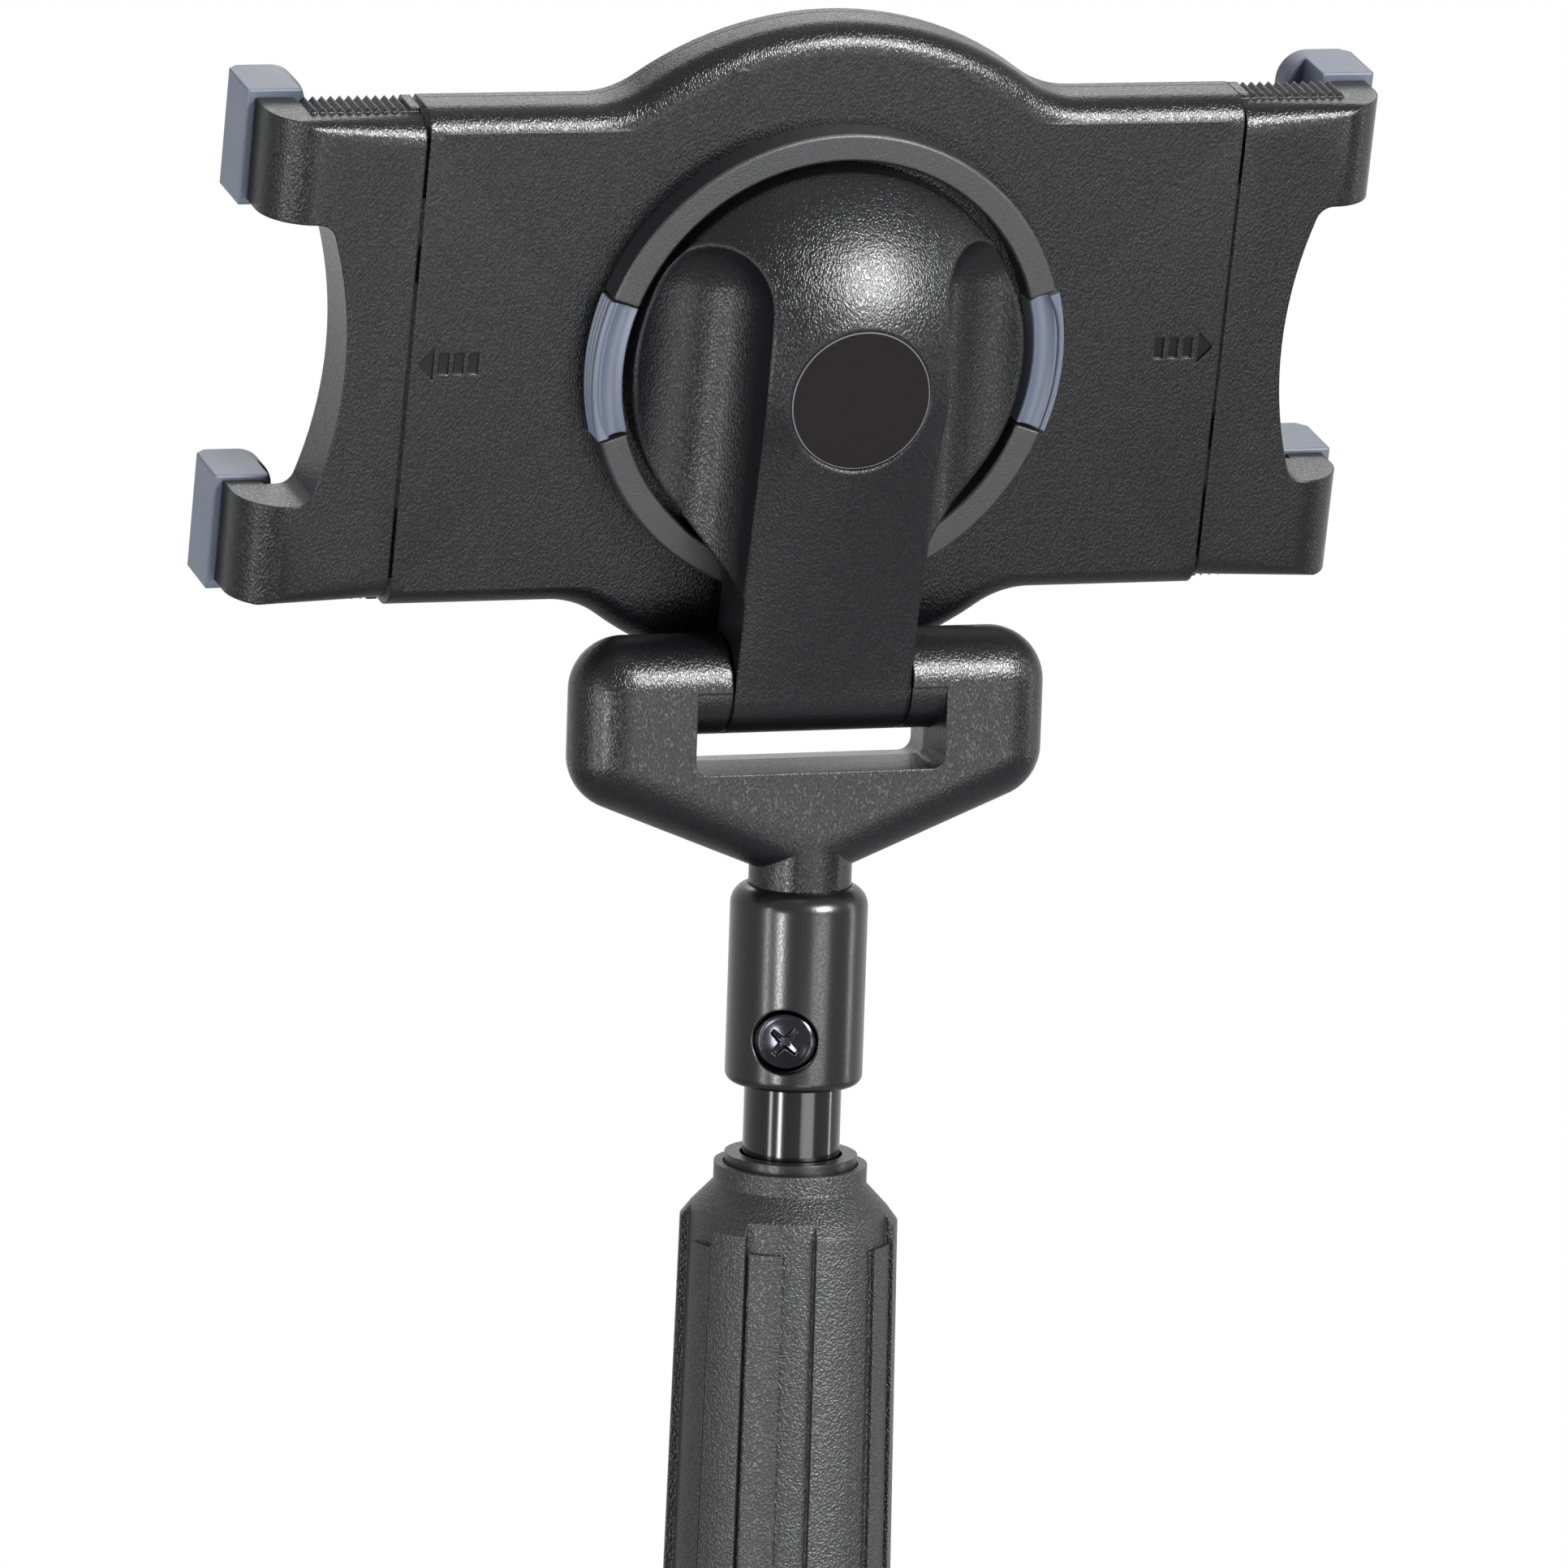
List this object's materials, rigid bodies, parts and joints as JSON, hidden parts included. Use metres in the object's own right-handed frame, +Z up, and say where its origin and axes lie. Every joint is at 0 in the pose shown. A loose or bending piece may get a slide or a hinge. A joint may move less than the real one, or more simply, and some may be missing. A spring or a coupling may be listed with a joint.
{
  "type": "adjustable tablet floor stand",
  "caption": "Telescopic tripod floor stand with a tilting, turning spring-jaw holder that grips a tablet by its two long edges.",
  "frame": {"origin": "centre of the feet's bounding box on the floor", "axes": "+Z up along the pole, +Y towards the tablet, +X to the right as seen from behind the holder"},
  "size_m": [0.4996, 0.4356, 0.9508],
  "materials": {
    "black_abs": "pebbled satin",
    "grip_plastic": "coarse matt texture",
    "blue_tpe": "soft satin blue-grey",
    "badge_plate": "smooth satin, bare",
    "rod_paint": "gloss black",
    "tube_paint": "satin black",
    "screw_black": "black plated",
    "foot_rubber": "matt",
    "pin_steel": "plain",
    "spring_steel": "plain",
    "acetal": "smooth"
  },
  "bodies": {
    "base": {"outer_tube": "tube_paint", "tube_plug": "acetal", "hub": "black_abs", "hub_screw": "screw_black", "leg_pins": "pin_steel", "clutch_ferrule": "acetal", "clutch_collet": "acetal"},
    "leg_1": {"leg_knuckle_1": "black_abs", "leg_tube_1": "tube_paint", "leg_foot_1": "foot_rubber"},
    "leg_2": {"leg_knuckle_2": "black_abs", "leg_tube_2": "tube_paint", "leg_foot_2": "foot_rubber"},
    "leg_3": {"leg_knuckle_3": "black_abs", "leg_tube_3": "tube_paint", "leg_foot_3": "foot_rubber"},
    "grip": {"clutch_grip": "grip_plastic"},
    "pole": {"rod": "rod_paint", "rod_bush": "acetal", "collar_front": "black_abs", "collar_rear": "black_abs", "collar_screw": "screw_black", "collar_nut": "pin_steel"},
    "yoke": {"yoke_rear": "black_abs", "yoke_front": "black_abs", "yoke_screws": "screw_black", "pivot_pin": "pin_steel", "friction_washers": "acetal"},
    "arm": {"arm": "black_abs", "badge": "badge_plate", "arm_flange": "acetal", "flange_screws": "screw_black"},
    "holder": {"back_shell": "black_abs", "front_cover": "black_abs", "cover_screws": "screw_black", "bezel_ring": "black_abs", "tab_spring_left": "spring_steel", "tab_spring_right": "spring_steel", "jaw_spring_left": "spring_steel", "jaw_spring_right": "spring_steel"},
    "tab_left": {"tab_left": "blue_tpe"},
    "tab_right": {"tab_right": "blue_tpe"},
    "jaw_left": {"jaw_left": "black_abs", "pad_left_upper": "blue_tpe", "pad_left_lower": "blue_tpe"},
    "jaw_right": {"jaw_right": "black_abs", "pad_right_upper": "blue_tpe", "pad_right_lower": "blue_tpe"}
  },
  "joints": [
    {"name": "leg_1_fold", "type": "hinge", "parent": "base", "child": "leg_1", "pos_m": [0, 0.03493, 0.17], "axis": [1, 0, 0], "range_deg": [0, 56.5]},
    {"name": "leg_2_fold", "type": "hinge", "parent": "base", "child": "leg_2", "pos_m": [0.02944, 0.08593, 0.17], "axis": [-0.5, 0.866, 0], "range_deg": [0, 56.5]},
    {"name": "leg_3_fold", "type": "hinge", "parent": "base", "child": "leg_3", "pos_m": [-0.02944, 0.08593, 0.17], "axis": [-0.5, -0.866, 0], "range_deg": [0, 56.5]},
    {"name": "clutch_turn", "type": "hinge", "parent": "base", "child": "grip", "pos_m": [0, 0.06893, 0.6465], "axis": [0, 0, 1], "range_deg": [0, 90]},
    {"name": "pole_slide", "type": "slide", "parent": "base", "child": "pole", "axis": [0, 0, 1], "range_m": [-0.011, 0.55]},
    {"name": "yoke_swivel", "type": "hinge", "parent": "pole", "child": "yoke", "pos_m": [0, 0.06893, 0.84], "axis": [0, 0, 1], "continuous": true},
    {"name": "arm_tilt", "type": "hinge", "parent": "yoke", "child": "arm", "pos_m": [0, 0.06893, 0.84], "axis": [1, 0, 0], "range_deg": [-6, 79]},
    {"name": "holder_turn", "type": "hinge", "parent": "arm", "child": "holder", "pos_m": [0, 0.06793, 0.8939], "axis": [0, 0.9816, 0.1908], "continuous": true},
    {"name": "jaw_left_slide", "type": "slide", "parent": "holder", "child": "jaw_left", "axis": [-1, 0, 0], "range_m": [0, 0.0165], "stiffness_N_per_m": 300, "springref_m": -0.02, "deforming": ["jaw_spring_left"]},
    {"name": "jaw_right_slide", "type": "slide", "parent": "holder", "child": "jaw_right", "axis": [1, 0, 0], "range_m": [0, 0.0165], "stiffness_N_per_m": 300, "springref_m": -0.02, "deforming": ["jaw_spring_right"]},
    {"name": "tab_left_press", "type": "slide", "parent": "holder", "child": "tab_left", "axis": [1, 0, 0], "range_m": [0, 0.0012], "stiffness_N_per_m": 2000, "springref_m": -0.001, "deforming": ["tab_spring_left"]},
    {"name": "tab_right_press", "type": "slide", "parent": "holder", "child": "tab_right", "axis": [-1, 0, 0], "range_m": [0, 0.0012], "stiffness_N_per_m": 2000, "springref_m": -0.001, "deforming": ["tab_spring_right"]}
  ]
}
